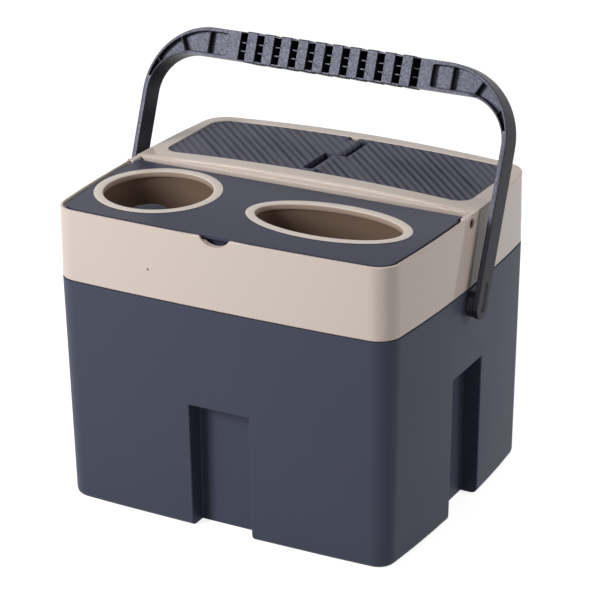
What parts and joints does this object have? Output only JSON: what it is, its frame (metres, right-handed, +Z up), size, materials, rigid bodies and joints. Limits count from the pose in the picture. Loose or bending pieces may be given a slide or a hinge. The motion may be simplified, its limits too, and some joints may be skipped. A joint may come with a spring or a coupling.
{
  "type": "car trash bin",
  "caption": "Car litter bin with a tapered bucket, beige collar, lifting lid with round and oval cups, butterfly storage cover and bail handle.",
  "frame": {"origin": "centre of the base's underside, under the middle of the whole part's box", "axes": "+X to the right seen from the front, +Y to the back, +Z up; the lid with the cups is at the front, on the -Y side"},
  "size_m": [0.2996, 0.235, 0.3225],
  "materials": {
    "bucket": "fine matte moulded polypropylene, dark slate blue",
    "collar": "glossy warm beige moulded plastic",
    "lid": "satin dark slate moulded plastic",
    "pin": "dark moulded plastic",
    "cup": "glossy beige moulded plastic",
    "finger": "glossy near black moulded plastic",
    "flap": "dark slate plastic with diagonal ridges",
    "rod": "plain drawn steel rod",
    "tray": "dark moulded plastic",
    "handle": "satin dark grey moulded plastic"
  },
  "bodies": {
    "bin": {"bucket": "bucket", "collar": "collar", "lid_pins": "pin", "flap_rod": "rod", "storage_tray": "tray"},
    "lid": {"front_lid": "lid", "round_cup": "cup", "oval_cup": "cup"},
    "finger": {"cup_finger": "finger"},
    "flap_l": {"flap_left": "flap"},
    "flap_r": {"flap_right": "flap"},
    "handle": {"handle": "handle"}
  },
  "joints": [
    {"name": "handle_swing", "type": "hinge", "parent": "bin", "child": "handle", "pos_m": [0, 0.0023, 0.1633], "axis": [1, 0, 0], "range_deg": [-98, 139]},
    {"name": "lid_hinge", "type": "hinge", "parent": "bin", "child": "lid", "pos_m": [0, 0.0044, 0.2233], "axis": [-1, 0, 0], "range_deg": [0, 48]},
    {"name": "flap_left_hinge", "type": "hinge", "parent": "bin", "child": "flap_l", "pos_m": [0, 0.0644, 0.2306], "axis": [0, 1, 0], "range_deg": [0, 28]},
    {"name": "flap_right_hinge", "type": "hinge", "parent": "bin", "child": "flap_r", "pos_m": [0, 0.0644, 0.2306], "axis": [0, -1, 0], "range_deg": [0, 28]},
    {"name": "finger_push", "type": "hinge", "parent": "lid", "child": "finger", "pos_m": [-0.11684, -0.01904, 0.2013], "axis": [0.6947, 0.7193, 0], "range_deg": [0, 10], "stiffness_Nm_per_rad": 0.05, "springref_deg": -5.73}
  ]
}
